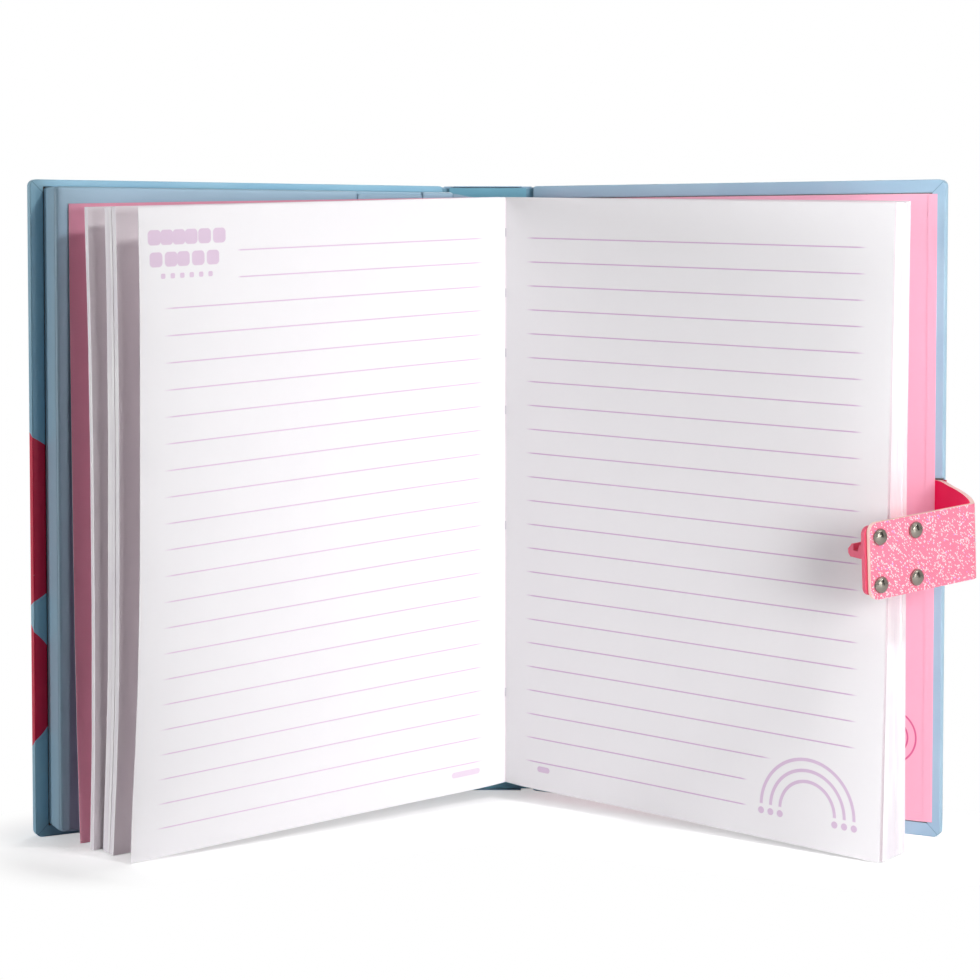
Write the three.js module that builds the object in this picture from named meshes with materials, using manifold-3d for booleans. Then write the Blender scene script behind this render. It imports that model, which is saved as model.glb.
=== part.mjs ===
// An electronic diary: a hard case-bound book that stands open, with a lock and its
// electronics in a thick box inside the front cover, and a riveted strap on the back cover.
// Millimetres and degrees, +Z up. The origin is the middle of the spine's bottom edge.
// The reader's side of the open diary faces -Y.
import * as THREE from 'three';
import { mergeVertices } from 'three/addons/utils/BufferGeometryUtils.js';
import Module from 'manifold-3d';

const wasm = await Module();
wasm.setup();

// Clearances
const seat = 0.3; // between pieces that lie on each other
const ease = 0.4; // between the closed block and what presses on it

// Case: boards, covering paper and how far the diary stands open
const caseHeight = 216;
const coverReach = 150.3; // hinge axis to the outer fore edge
const boardThickness = 2;
const wrapThickness = 0.35;
const cornerRadius = 2.2;
const square = 4.6; // strip of cover that shows round what is pasted inside
const frontOpening = 27.4; // each cover's turn towards the reader from flat
const backOpening = 27.3;
const jointWidth = 3.95; // spine board's edge to the hinge axis
const jointBead = 0.7; // radius of the cloth fold on the hinge axis

// Box inside the front cover
const boxDepth = 13;
const boxWall = 1.6;
const boxFloor = 0.9;
const lidThickness = 1.1;
const lidBevel = 1;
const boxSpineEdge = 2.3; // hinge axis to the box's spine end

// Leaves: thickness, where the root stands in the open diary, and the leaf's turn from flat
const leafLength = 145.5;
const leafHeight = 207;
const leafLift = 4.7; // foot of the leaves above the table at the root
const leafDroop = 4.3; // how much lower the fore edge hangs
const leavesLeft = [
  { name: 'front_flyleaf', thickness: 0.4, root: [-2.4, -11.5], turn: frontOpening, paper: 'pinkPaper' },
  { name: 'left_leaves_outer', thickness: 1.6, root: [-0.8, -12.2], turn: 30, paper: 'page' },
  { name: 'left_leaves_inner', thickness: 4, root: [3.2, -13.5], turn: 34, paper: 'page' },
  { name: 'left_page', thickness: 0.4, root: [6.05, -14.6], turn: 38, paper: 'page' },
];
const leavesRight = [
  { name: 'right_page', thickness: 0.4, root: [6.55, -14.6], turn: 35.5, paper: 'page' },
  { name: 'right_leaves_inner', thickness: 3, root: [8.3, -12.7], turn: 35.2, paper: 'page' },
  { name: 'right_leaves_middle', thickness: 1.9, root: [10.4, -10.6], turn: 34.6, paper: 'page' },
  { name: 'right_leaves_outer', thickness: 1.2, root: [12, -9.1], turn: 34, paper: 'page' },
];
const pastedown = 0.35; // endpaper pasted on the back board
const hingePaper = 0.4;

// Strap
const strapWidth = 23.8;
const strapThickness = 1.4;
const strapHeight = 106; // middle of the strap above the table
const strapRootLength = 31;
const strapFrontLength = 41.5;
const strapRootTurn = 63.5; // the side part's turn off the open back cover
const strapCreaseTurn = 57.8; // the front part's turn off the side part
const strapSag = 6.2; // how far the unlatched strap hangs
const strapEndRadius = 3;
const strapPlay = 0.9; // the strap's fold stands this far off the cover's edge
const strapSwing = 0.45; // and this far off the glued root
const strapSideRoom = 0.6; // at each side of the strap in its notch
const rivetRow = 14.8;
const rivetColumn = 14.2;
const rivetFromEnd = 3.8;
const rivetHeadRadius = 2.65;
const rivetHeadHeight = 1.5;
const rivetShankRadius = 1.1;
const rivetTailRadius = 1.8;
const rivetTail = 0.5;

// Latch plate and tongue on the strap, catch and housing on the front cover
const plateThickness = 1.4;
const plateLength = 25;
const plateHeight = 21.4;
const plateOverhang = 0.8; // past the strap's end
const tongueWidth = 4.4;
const tongueHeight = 4.2;
const tongueFromEnd = 5;
const tongueRise = 1.5; // above the strap's middle
const tongueHead = 2.5;
const notchDepth = 2;
const catchThickness = 1.35;
const slotClearance = 1.9;
const housingBefore = 67.7; // from the tongue towards the spine
const housingBeyond = 22.3; // and towards the fore edge
const housingHeight = 45;
const housingRadius = 7;
const bezelThickness = 1.6;
const windowInset = 4; // bezel flange that lies on the cover
const skirtWall = 1.4;
const keysBefore = [35.7, 18.7]; // from the tongue towards the spine
const keyRows = [-9.5, 9.5];
const keyRadius = 5.4;
const keyProud = 1.2;
const keyFlange = 1.3;
const keyTravel = 0.8;
const grilleBefore = 53.7;
const grilleSlots = 5;
const grillePitch = 3.4;
const grilleSlotWidth = 1.4;
const grilleSlotLength = 16;
const ledRadius = 1.5;
const ledBefore = 11.2;
const ledAbove = 14; // above the lock's middle

// Electronics in the box
const boardWidth = 34;
const boardBefore = 41.7; // from the tongue towards the spine
const boardHeight = 50;
const circuitThickness = 1.2;
const matThickness = 0.6;
const speakerRadius = 11.5;
const speakerDepth = 4.5;
const coilLength = 22;
const coilWidth = 14;
const plungerRadius = 2.3;
const plungerEntry = 10; // how deep the plunger stands in the coil at rest
const coilBore = 16; // depth of the coil's bore
const springRadius = 3.1; // to the middle of the wire
const springWire = 0.55; // radius of the wire
const springTurns = 4;
const springLength = 8;
const batteryRadius = 5.25;
const batteryLength = 44.5;
const batteryPitch = 11.3;
const bayLeft = 14.5;
const bayWall = 1.2;
const contactThickness = 0.5;

// Worked out from the sizes above
const degree = Math.PI / 180;
const boardHalf = boardThickness / 2;
const faceLevel = boardHalf + seat + wrapThickness; // cover's face from its middle plane
const pasteLevel = boardHalf + seat; // where what is pasted inside begins
const boxTop = pasteLevel + boxDepth;
const floorTop = pasteLevel + boxFloor;
const innerFloor = floorTop + seat; // where what lies on the box floor begins
const stack = (leaves) => leaves.reduce((sum, leaf) => sum + leaf.thickness, 0) + seat * (leaves.length - 1);
const blockLeft = stack(leavesLeft);
const blockRight = stack(leavesRight);
const closedInside = boxTop + ease + blockLeft + seat + blockRight + ease + faceLevel;
const hingeHalf = closedInside / 2; // hinge axes stand this far from the spine's middle
const spineHalf = hingeHalf - jointWidth;
const strapAxis = coverReach + seat + strapThickness / 2 + strapPlay;
const strapLevel = boardHalf - (strapThickness - 0.1) / 2; // middle of the strap's root
const bezelTop = faceLevel + seat + bezelThickness;
const strapSideLength = 2 * hingeHalf + bezelTop + seat + plateThickness + seat + strapThickness / 2 - strapLevel;
const tongueLength = bezelTop + innerFloor + catchThickness + 2 * seat + tongueHead;
const tongueAt = strapAxis - strapFrontLength + tongueFromEnd; // in the closed diary
const tongueLevel = strapHeight + tongueRise;
const housingLeft = tongueAt - housingBefore;
const housingRight = tongueAt + housingBeyond;
const keyColumns = keysBefore.map((before) => tongueAt - before);
const grilleCentre = tongueAt - grilleBefore;
const ledAt = [tongueAt - ledBefore, strapHeight + ledAbove];
const boardLeft = tongueAt - boardBefore;
const lidLevel = boxTop - lidThickness;
const boxFore = coverReach - square;
const boxFoot = square - 0.8;
const boxHead = caseHeight - square + 2;
const bayFoot = boxHead - boxWall - bayWall - 2 * contactThickness - batteryLength - 2.4;
const bayRight = bayLeft + 2 * bayWall + 2 * batteryPitch + 0.6;

const colours = {
  coverPaper: [0xa9cfe4, 0.45],
  lining: [0x5d9db4, 0.7],
  greyBoard: [0x9a958c, 0.9],
  boxPaper: [0xa6c8dd, 0.5],
  page: [0xf6f3f6, 0.85],
  pinkPaper: [0xffb2cb, 0.75],
  hinge: [0x9dbccf, 0.8],
  strap: [0xff8fa8, 0.4],
  latch: [0xeb5573, 0.35],
  nickel: [0xc9c4ba, 0.25, 1],
  housing: [0xf7a8bf, 0.4],
  key: [0xfdf6fa, 0.45],
  circuit: [0x2f7a4a, 0.5],
  rubber: [0xd9d9de, 0.8],
  lens: [0xf2f7ff, 0.2],
  speaker: [0x2d2d30, 0.6],
  steel: [0xb8babd, 0.35, 1],
  coil: [0x7c5132, 0.5],
  battery: [0x6f8fb0, 0.4],
};

const diary = new THREE.Group();

function addMesh(parent, name, colour, geometry) {
  const [color, roughness, metalness = 0] = colours[colour];
  const material = new THREE.MeshStandardMaterial({ color, roughness, metalness });
  const mesh = new THREE.Mesh(geometry, material);
  mesh.name = name;
  parent.add(mesh);
  return mesh;
}

// Cutting and joining of closed meshes
function solid(geometry) {
  const bare = geometry.index ? geometry.toNonIndexed() : geometry.clone();
  bare.deleteAttribute('normal');
  bare.deleteAttribute('uv');
  const merged = mergeVertices(bare, 1e-4);
  return new wasm.Manifold(new wasm.Mesh({
    numProp: 3,
    vertProperties: new Float32Array(merged.attributes.position.array),
    triVerts: new Uint32Array(merged.index.array),
  }));
}

function meshOf(body) {
  const { vertProperties, triVerts } = body.getMesh();
  const geometry = new THREE.BufferGeometry();
  geometry.setAttribute('position', new THREE.BufferAttribute(vertProperties, 3));
  geometry.setIndex(new THREE.BufferAttribute(triVerts, 1));
  geometry.computeVertexNormals();
  return geometry;
}

const join = (...bodies) => bodies.reduce((all, body) => all.add(body));
const cut = (body, ...tools) => tools.reduce((left, tool) => left.subtract(tool), body);

function block([x0, x1], [y0, y1], [z0, z1]) {
  const geometry = new THREE.BoxGeometry(x1 - x0, y1 - y0, z1 - z0);
  return solid(geometry.translate((x0 + x1) / 2, (y0 + y1) / 2, (z0 + z1) / 2));
}

// A rounded rectangle standing in the XZ plane
function roundedOutline([x0, x1], [z0, z1], radius) {
  const shape = new THREE.Shape();
  shape.moveTo(x0 + radius, z0);
  shape.lineTo(x1 - radius, z0);
  shape.absarc(x1 - radius, z0 + radius, radius, -Math.PI / 2, 0);
  shape.lineTo(x1, z1 - radius);
  shape.absarc(x1 - radius, z1 - radius, radius, 0, Math.PI / 2);
  shape.lineTo(x0 + radius, z1);
  shape.absarc(x0 + radius, z1 - radius, radius, Math.PI / 2, Math.PI);
  shape.lineTo(x0, z0 + radius);
  shape.absarc(x0 + radius, z0 + radius, radius, Math.PI, 1.5 * Math.PI);
  return shape;
}

// An outline in the XZ plane made into a slab from y0 to y1
function slab(shape, [y0, y1], curveSegments = 5) {
  const geometry = new THREE.ExtrudeGeometry(shape, { depth: y1 - y0, bevelEnabled: false, curveSegments });
  return solid(geometry.rotateX(Math.PI / 2).translate(0, y1, 0));
}

// The same slab with the edge of the face at y1 rounded off
function softSlab([x0, x1], [y0, y1], [z0, z1], radius, bevel) {
  const shape = roundedOutline([x0 + bevel, x1 - bevel], [z0 + bevel, z1 - bevel], radius);
  const geometry = new THREE.ExtrudeGeometry(shape, {
    depth: y1 - y0, bevelThickness: bevel, bevelSize: bevel, bevelSegments: 3, curveSegments: 4,
  });
  const soft = solid(geometry.rotateX(Math.PI / 2).translate(0, y1 - bevel, 0));
  return cut(soft, block([x0 - 1, x1 + 1], [y0 - 2 * bevel - 1, y0], [z0 - 1, z1 + 1]));
}

function roundedSlab(x, y, z, radius, curveSegments) {
  return slab(roundedOutline(x, z, radius), y, curveSegments);
}

// A round bar along Y, or along Z, from one level to the other
function barAlongY([x, z], radius, [y0, y1], sides = 24) {
  const geometry = new THREE.CylinderGeometry(radius, radius, y1 - y0, sides);
  return solid(geometry.translate(x, (y0 + y1) / 2, z));
}

function barAlongZ([x, y], radius, [z0, z1], sides = 24) {
  const geometry = new THREE.CylinderGeometry(radius, radius, z1 - z0, sides);
  return solid(geometry.rotateX(Math.PI / 2).translate(x, y, (z0 + z1) / 2));
}

const around = (middle, width) => [middle - width / 2, middle + width / 2];

// Spine: board, covering, lining and the cloth joints that the covers turn on
const edge = seat + wrapThickness; // board's edge to the outer face of the covering
const boardFoot = edge;
const boardHead = caseHeight - edge;

function buildSpine() {
  const spine = new THREE.Group();
  const boardBody = block([-spineHalf, spineHalf], [-boardHalf, boardHalf], [boardFoot, boardHead]);
  addMesh(spine, 'spine_board', 'greyBoard', meshOf(boardBody));

  const wrapHalf = hingeHalf - seat;
  const sleeve = block([-wrapHalf, wrapHalf], [boardHalf + seat, faceLevel], [0, caseHeight]);
  const turnHalf = spineHalf;
  const turnIn = (z) => block([-turnHalf, turnHalf], [-faceLevel, faceLevel], z);
  const covering = join(sleeve, turnIn([0, wrapThickness]), turnIn([caseHeight - wrapThickness, caseHeight]));
  addMesh(spine, 'spine_covering', 'coverPaper', meshOf(covering));

  const liningHalf = hingeHalf - faceLevel - 2 * seat;
  const liningBody = block([-liningHalf, liningHalf], [-faceLevel, -pasteLevel], [edge, caseHeight - edge]);
  addMesh(spine, 'spine_lining', 'lining', meshOf(liningBody));

  for (const [name, side] of [['front_joint_cloth', -1], ['back_joint_cloth', 1]]) {
    const inner = side * (spineHalf + seat);
    const outer = side * hingeHalf;
    const web = block([Math.min(inner, outer), Math.max(inner, outer)], around(0, 0.8), [boardFoot, boardHead]);
    const bead = barAlongZ([outer, 0], jointBead, [boardFoot, boardHead], 12);
    addMesh(spine, name, 'coverPaper', meshOf(join(web, bead)));
  }
  return spine;
}

// A cover lies along +X from its hinge axis; inside tells on which side in Y the leaves are.
const boardNear = 1; // hinge axis to the board's edge
const boardFar = coverReach - edge;

function acrossCover(inside, a, b) {
  return [Math.min(inside * a, inside * b), Math.max(inside * a, inside * b)];
}

function coverBoard(...cuts) {
  const z = [boardFoot, boardHead];
  const outline = roundedSlab([boardNear, boardFar], [-boardHalf, boardHalf], z, cornerRadius - edge);
  return cut(outline, ...cuts);
}

function coverWrap(inside, [foot, head], ...cuts) {
  const far = [seat, coverReach];
  const outer = roundedSlab(far, [-faceLevel, faceLevel], [0, caseHeight], cornerRadius);
  const hollow = roundedSlab(
    [-5, coverReach - wrapThickness],
    [-pasteLevel, pasteLevel],
    [wrapThickness, caseHeight - wrapThickness],
    cornerRadius - wrapThickness,
  );
  const opening = block(
    [-5, coverReach - square + seat],
    acrossCover(inside, boardHalf, faceLevel + 1),
    [foot - seat, head + seat],
  );
  const spineEnd = block([-5, boardNear], acrossCover(inside, -boardHalf, faceLevel + 1), [-1, caseHeight + 1]);
  return cut(outer, hollow, opening, spineEnd, ...cuts);
}

// Front cover, its box, the lock housing and the electronics
const lockLevel = strapHeight;
const housingFoot = lockLevel - housingHeight / 2;
const housingTop = lockLevel + housingHeight / 2;
const windowX = [housingLeft + windowInset, housingRight - windowInset];
const windowZ = [housingFoot + windowInset - 1, housingTop - windowInset + 1];
const windowRadius = 3;
const slotWidth = tongueWidth + 2 * slotClearance;
const slotHeight = tongueHeight + 2 * slotClearance;
const bezelUnder = -(faceLevel + seat);

function lockWindow(y) {
  return roundedSlab(windowX, y, windowZ, windowRadius);
}

function grillSlot(n) {
  const x = grilleCentre + (n - (grilleSlots - 1) / 2) * grillePitch;
  const shape = roundedOutline(around(x, grilleSlotWidth), around(lockLevel, grilleSlotLength), grilleSlotWidth / 2.01);
  return slab(shape, [-bezelTop - 1, bezelUnder + 1], 3);
}

function keyPlaces() {
  return keyRows.flatMap((z) => keyColumns.map((x) => [x, lockLevel - z]));
}

function buildHousing() {
  const x = [housingLeft, housingRight];
  const z = [housingFoot, housingTop];
  const step = 0.5;
  const flange = roundedSlab(x, [-bezelTop + step, bezelUnder], z, housingRadius, 8);
  const face = roundedSlab(
    [x[0] + step, x[1] - step], [-bezelTop, bezelUnder], [z[0] + step, z[1] - step], housingRadius - step, 8,
  );
  const skirtX = [windowX[0] + seat, windowX[1] - seat];
  const skirtZ = [windowZ[0] + seat, windowZ[1] - seat];
  const skirt = cut(
    roundedSlab(skirtX, [bezelUnder - 0.1, floorTop], skirtZ, windowRadius - seat),
    roundedSlab(
      [skirtX[0] + skirtWall, skirtX[1] - skirtWall],
      [bezelUnder, floorTop + 1],
      [skirtZ[0] + skirtWall, skirtZ[1] - skirtWall],
      windowRadius - seat - skirtWall / 2,
    ),
  );
  const slotX = around(tongueAt, slotWidth);
  const slotZ = around(tongueLevel, slotHeight);
  const throat = cut(
    roundedSlab([slotX[0] - 1.2, slotX[1] + 1.2], [bezelUnder - 0.1, floorTop], [slotZ[0] - 1.2, slotZ[1] + 1.2], 1.5, 3),
  );
  const through = [-bezelTop - 1, floorTop + 1];
  const slot = block(slotX, through, slotZ);
  const keyHoles = keyPlaces().map((place) => barAlongY(place, keyRadius, [through[0], 0]));
  const led = barAlongY(ledAt, ledRadius + seat, [through[0], 0], 12);
  const slots = Array.from({ length: grilleSlots }, (_, n) => grillSlot(n));
  return cut(join(flange, face, skirt, throat), slot, led, ...keyHoles, ...slots);
}

function buildKey() {
  const capRadius = keyRadius - seat;
  const flangeTop = bezelUnder + seat;
  const flangeUnder = flangeTop + 0.8;
  const stemEnd = innerFloor - matThickness - 2 * seat - keyTravel;
  const top = -(bezelTop + keyProud);
  const profile = [
    [0, top], [capRadius - 1.6, top + 0.15], [capRadius - 0.4, top + 0.7], [capRadius, top + 1.2],
    [capRadius, flangeTop], [capRadius + keyFlange, flangeTop], [capRadius + keyFlange, flangeUnder],
    [2, flangeUnder], [2, stemEnd], [0, stemEnd],
  ];
  return new THREE.LatheGeometry(profile.map(([r, y]) => new THREE.Vector2(r, y)), 24);
}

function buildCatch() {
  const y = [innerFloor, innerFloor + catchThickness];
  const x = around(tongueAt, 11);
  const noseFoot = tongueLevel + tongueHeight / 2 - notchDepth + seat;
  const plateTop = catchTop;
  const body = block(x, y, [noseFoot + 3, plateTop]);
  const nose = block(around(tongueAt, tongueWidth + 1), y, [noseFoot, noseFoot + 4]);
  const lug = block(around(tongueAt, 9), [y[0], plungerLevel + 3], [plateTop - 2, plateTop]);
  const plunger = barAlongZ([tongueAt, plungerLevel], plungerRadius, [plateTop - 1, coilFoot + plungerEntry], 16);
  return join(body, nose, lug, plunger);
}

const catchTop = windowZ[1] + 4;
const plungerLevel = innerFloor + 5.2;
const coilFoot = catchTop + springLength + 2 * seat;

function buildSpring() {
  class Helix extends THREE.Curve {
    getPoint(t, target = new THREE.Vector3()) {
      const angle = 2 * Math.PI * springTurns * t;
      const rise = (springLength - 2 * springWire) * t;
      return target.set(springRadius * Math.cos(angle), springRadius * Math.sin(angle), rise);
    }
  }
  const wire = new THREE.Shape();
  wire.absarc(0, 0, springWire, 0, 2 * Math.PI);
  const steps = springTurns * 12;
  const geometry = new THREE.ExtrudeGeometry(wire, { steps, curveSegments: 3, extrudePath: new Helix() });
  return geometry.translate(tongueAt, plungerLevel, catchTop + seat + springWire);
}

function buildSolenoid() {
  const x = around(tongueAt, coilWidth);
  const y = [innerFloor, lidLevel - seat];
  const z = [coilFoot, coilFoot + coilLength];
  const frame = block(x, y, z);
  const bore = barAlongZ([tongueAt, plungerLevel], plungerRadius + seat, [z[0] - 1, z[0] + coilBore], 16);
  const sideX = (side) => [tongueAt + side * (coilWidth / 2) - 2, tongueAt + side * (coilWidth / 2) + 2];
  const window = [z[0] + 2, z[1] - 2];
  return cut(frame, bore, block(sideX(-1), [y[0] + 2, y[1] + 1], window), block(sideX(1), [y[0] + 2, y[1] + 1], window));
}

function buildTray() {
  const x = [boxSpineEdge, boxFore];
  const z = [boxFoot, boxHead];
  const walls = roundedSlab(x, [pasteLevel, lidLevel - seat], z, 1);
  const hollow = block([x[0] + boxWall, x[1] - boxWall], [floorTop, lidLevel], [z[0] + boxWall, z[1] - boxWall]);
  const bayZ = [bayFoot - bayWall, boxHead - boxWall];
  const bay = cut(
    block([bayLeft, bayRight], [floorTop - 0.1, lidLevel - seat], bayZ),
    block([bayLeft + bayWall, bayRight - bayWall], [floorTop, lidLevel], [bayFoot, boxHead - boxWall + 0.1]),
  );
  const clip = ([x0, x1], foot) => block([x0, x1], [floorTop - 0.1, plungerLevel + 3], [foot, foot + 2]);
  const stop = clip(around(tongueAt, coilWidth), coilFoot + coilLength + seat);
  return cut(join(cut(walls, hollow), bay, stop), lockWindow([pasteLevel - 1, floorTop + 0.05]));
}

function doorOutline(clear) {
  return [[bayLeft + bayWall / 2 - clear, bayRight - bayWall / 2 + clear], [bayFoot - 4 - clear, boxHead - lidBevel + clear]];
}

function buildLid() {
  const plate = softSlab([boxSpineEdge, boxFore], [lidLevel, boxTop], [boxFoot, boxHead], 0.6, lidBevel);
  const [x, [foot]] = doorOutline(seat);
  return cut(plate, block(x, [lidLevel - 1, boxTop + 1], [foot, boxHead + 1]));
}

function buildDoor() {
  const [x, z] = doorOutline(0);
  const plate = block(x, [lidLevel, boxTop], z);
  const ribs = [0, 1, 2, 3].map((n) => {
    const foot = z[0] + 6 + n * 2.4;
    return block(around((x[0] + x[1]) / 2, 12), [boxTop - 0.35, boxTop + 1], [foot, foot + 1.2]);
  });
  return cut(plate, ...ribs);
}

function buildBatteries(cover) {
  const foot = bayFoot + contactThickness + 1.2;
  const level = innerFloor + batteryRadius;
  const places = [0.5, 1.5].map((n) => bayLeft + bayWall + 0.3 + n * batteryPitch);
  places.forEach((x, n) => {
    const up = n === 0;
    const nub = 0.9;
    const can = barAlongZ([x, level], batteryRadius, [foot + (up ? 0 : nub), foot + batteryLength - (up ? nub : 0)], 20);
    const tip = up
      ? barAlongZ([x, level], 1.9, [foot + batteryLength - 1.5, foot + batteryLength], 12)
      : barAlongZ([x, level], 1.9, [foot, foot + 1.5], 12);
    addMesh(cover, `battery_${n + 1}`, 'battery', meshOf(join(can, tip)));
  });
  const thickness = contactThickness;
  const low = [bayFoot + seat, bayFoot + seat + thickness];
  const high = [foot + batteryLength + seat, foot + batteryLength + seat + thickness];
  const [a, b] = places;
  const y = around(level, 8);
  addMesh(cover, 'battery_bridge', 'steel', meshOf(block([a - 4, b + 4], y, low)));
  addMesh(cover, 'battery_contact_plus', 'steel', meshOf(block(around(a, 8), y, high)));
  addMesh(cover, 'battery_contact_minus', 'steel', meshOf(block(around(b, 8), y, high)));
}

function buildFrontCover() {
  const cover = new THREE.Group();
  cover.position.set(-hingeHalf, 0, 0);
  cover.rotation.z = Math.PI + frontOpening * degree;
  const through = [-faceLevel - 1, faceLevel + 1];

  addMesh(cover, 'front_board', 'greyBoard', meshOf(coverBoard(lockWindow(through))));
  addMesh(cover, 'front_covering', 'coverPaper', meshOf(coverWrap(1, [boxFoot, boxHead], lockWindow(through))));
  addMesh(cover, 'box_tray', 'boxPaper', meshOf(buildTray()));
  addMesh(cover, 'box_lid', 'boxPaper', meshOf(buildLid()));
  addMesh(cover, 'battery_door', 'boxPaper', meshOf(buildDoor()));
  buildBatteries(cover);

  addMesh(cover, 'lock_housing', 'housing', meshOf(buildHousing()));
  keyPlaces().forEach(([x, z], n) => {
    const key = addMesh(cover, `key_${n + 1}`, 'key', buildKey());
    key.position.set(x, 0, z);
  });
  const boardZ = around(lockLevel, boardHeight);
  const circuitX = [boardLeft, boardLeft + boardWidth];
  const circuit = block(circuitX, [innerFloor, innerFloor + circuitThickness], boardZ);
  addMesh(cover, 'circuit_board', 'circuit', meshOf(circuit));
  const matX = [boardLeft + 1, boardLeft + boardWidth - 1];
  const matZ = [windowZ[0] + 3, windowZ[1] - 3];
  const mat = roundedSlab(matX, [innerFloor - seat - matThickness, innerFloor - seat], matZ, 2);
  addMesh(cover, 'key_mat', 'rubber', meshOf(mat));
  const ledFoot = innerFloor - seat - matThickness - seat;
  const led = barAlongY(ledAt, ledRadius, [-bezelTop - 0.4, ledFoot], 12);
  addMesh(cover, 'status_led', 'lens', meshOf(led));
  const speaker = barAlongY([grilleCentre, lockLevel], speakerRadius, [innerFloor, innerFloor + speakerDepth], 28);
  addMesh(cover, 'speaker', 'speaker', meshOf(speaker));
  addMesh(cover, 'release_solenoid', 'coil', meshOf(buildSolenoid()));
  addMesh(cover, 'catch', 'steel', meshOf(buildCatch()));
  addMesh(cover, 'catch_spring', 'steel', buildSpring());
  return cover;
}

// Back cover, pasted endpaper and the strap
const notchHalf = strapWidth / 2 + strapSideRoom;
const rootTop = strapLevel + strapThickness / 2;
const recessFloor = -(strapLevel - strapThickness / 2) + seat;

function buildBackCover() {
  const cover = new THREE.Group();
  cover.position.set(hingeHalf, 0, 0);
  cover.rotation.z = -backOpening * degree;
  const rootEnd = strapAxis - strapThickness / 2 - strapSwing;
  const rootStart = rootEnd - strapRootLength;
  const notchZ = [strapHeight - notchHalf, strapHeight + notchHalf];
  const recess = block([rootStart - seat, coverReach + 5], [-faceLevel - 1, recessFloor], notchZ);

  addMesh(cover, 'back_board', 'greyBoard', meshOf(coverBoard(recess)));
  addMesh(cover, 'back_covering', 'coverPaper', meshOf(coverWrap(-1, [square, caseHeight - square], recess)));
  const paste = roundedSlab(
    [boxSpineEdge, coverReach - square],
    [-faceLevel, -pasteLevel],
    [square, caseHeight - square],
    1,
  );
  addMesh(cover, 'back_endpaper', 'pinkPaper', meshOf(paste));
  const root = block([rootStart, rootEnd], [-rootTop, -rootTop + strapThickness], around(strapHeight, strapWidth));
  addMesh(cover, 'strap_root', 'strap', meshOf(root));

  const side = buildStrap();
  side.position.set(strapAxis, -strapLevel, strapHeight);
  side.rotation.set(strapSag * degree, 0, -strapRootTurn * degree);
  cover.add(side);
  return cover;
}

function strapLeaf([x0, x1], bead, endRadius) {
  const z = around(0, strapWidth);
  const y = around(0, strapThickness);
  const sheet = endRadius
    ? join(roundedSlab([x0, x1], y, z, endRadius, 6), block([x0, x1 - 2 * endRadius], y, z))
    : block([x0, x1], y, z);
  return bead ? join(sheet, barAlongZ([0, 0], strapThickness / 2, z, 16)) : sheet;
}

function rivetPlaces() {
  const first = strapFrontLength - rivetFromEnd;
  return [0, 1].flatMap((column) => [1, -1].map((row) => [first - column * rivetColumn, row * rivetRow / 2]));
}

function buildRivet() {
  const top = strapThickness / 2 + seat;
  const bottom = -(strapThickness / 2 + seat + plateThickness) + 0.2;
  const dome = [0, 1, 2, 3, 4].map((n) => {
    const angle = (n / 4) * (Math.PI / 2);
    return [rivetHeadRadius * Math.sin(angle), top + rivetHeadHeight * Math.cos(angle)];
  });
  const profile = [
    ...dome, [rivetShankRadius, top], [rivetShankRadius, bottom + rivetTail],
    [rivetTailRadius, bottom + rivetTail], [rivetTailRadius, bottom], [0, bottom],
  ];
  const points = profile.map(([r, y]) => new THREE.Vector2(r, y));
  return new THREE.LatheGeometry(points.reverse(), 18);
}

// The plate under the strap's end, with the barbed tongue that the catch holds
function buildLatchPlate() {
  const top = -(strapThickness / 2 + seat);
  const under = top - plateThickness;
  const end = strapFrontLength + plateOverhang;
  const plate = roundedSlab([end - plateLength, end], [under, top], around(0, plateHeight), 2.5, 5);
  const middle = tongueRise;
  const half = tongueHeight / 2;
  const tip = under - tongueLength;
  const headTop = tip + tongueHead;
  const noseEnd = headTop + catchThickness + 2 * seat;
  const outline = new THREE.Shape([
    [under + 0.5, middle - half], [tip + 1, middle - half], [tip, middle - half + 1],
    [tip, middle + half - 1.8], [headTop - 0.7, middle + half], [headTop, middle + half],
    [headTop, middle + half - notchDepth], [noseEnd, middle + half - notchDepth],
    [noseEnd + 0.8, middle + half], [under + 0.5, middle + half],
  ].map(([y, z]) => new THREE.Vector2(y, z)));
  const tongue = new THREE.ExtrudeGeometry(outline, { depth: tongueWidth, bevelEnabled: false });
  // The outline's x and y become Y and Z, and its depth runs along X.
  tongue.applyMatrix4(new THREE.Matrix4().makeBasis(
    new THREE.Vector3(0, 1, 0), new THREE.Vector3(0, 0, 1), new THREE.Vector3(1, 0, 0),
  ));
  tongue.translate(strapFrontLength - tongueFromEnd - tongueWidth / 2, 0, 0);
  const holes = rivetPlaces().flatMap((place) => [
    barAlongY(place, rivetShankRadius + seat, [under - 1, top + 1], 16),
    barAlongY(place, rivetTailRadius + seat, [under - 1, under + 0.2 + rivetTail + seat], 16),
  ]);
  return cut(join(plate, solid(tongue)), ...holes);
}

function buildStrap() {
  const side = new THREE.Group();
  const creaseSeat = strapThickness / 2 + seat;
  const sideBody = strapLeaf([0, strapSideLength - creaseSeat], true);
  addMesh(side, 'strap_side', 'strap', meshOf(sideBody));

  const front = new THREE.Group();
  front.position.set(strapSideLength, 0, 0);
  front.rotation.z = -strapCreaseTurn * degree;
  side.add(front);
  const holes = rivetPlaces().map((place) => barAlongY(place, rivetShankRadius + seat, around(0, 5), 16));
  const frontBody = cut(strapLeaf([0, strapFrontLength], true, strapEndRadius), ...holes);
  addMesh(front, 'strap_front', 'strap', meshOf(frontBody));
  addMesh(front, 'latch_plate', 'latch', meshOf(buildLatchPlate()));
  rivetPlaces().forEach(([x, z], n) => {
    const rivet = addMesh(front, `rivet_${n + 1}`, 'nickel', buildRivet());
    rivet.position.set(x, 0, z);
  });
  return side;
}

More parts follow.
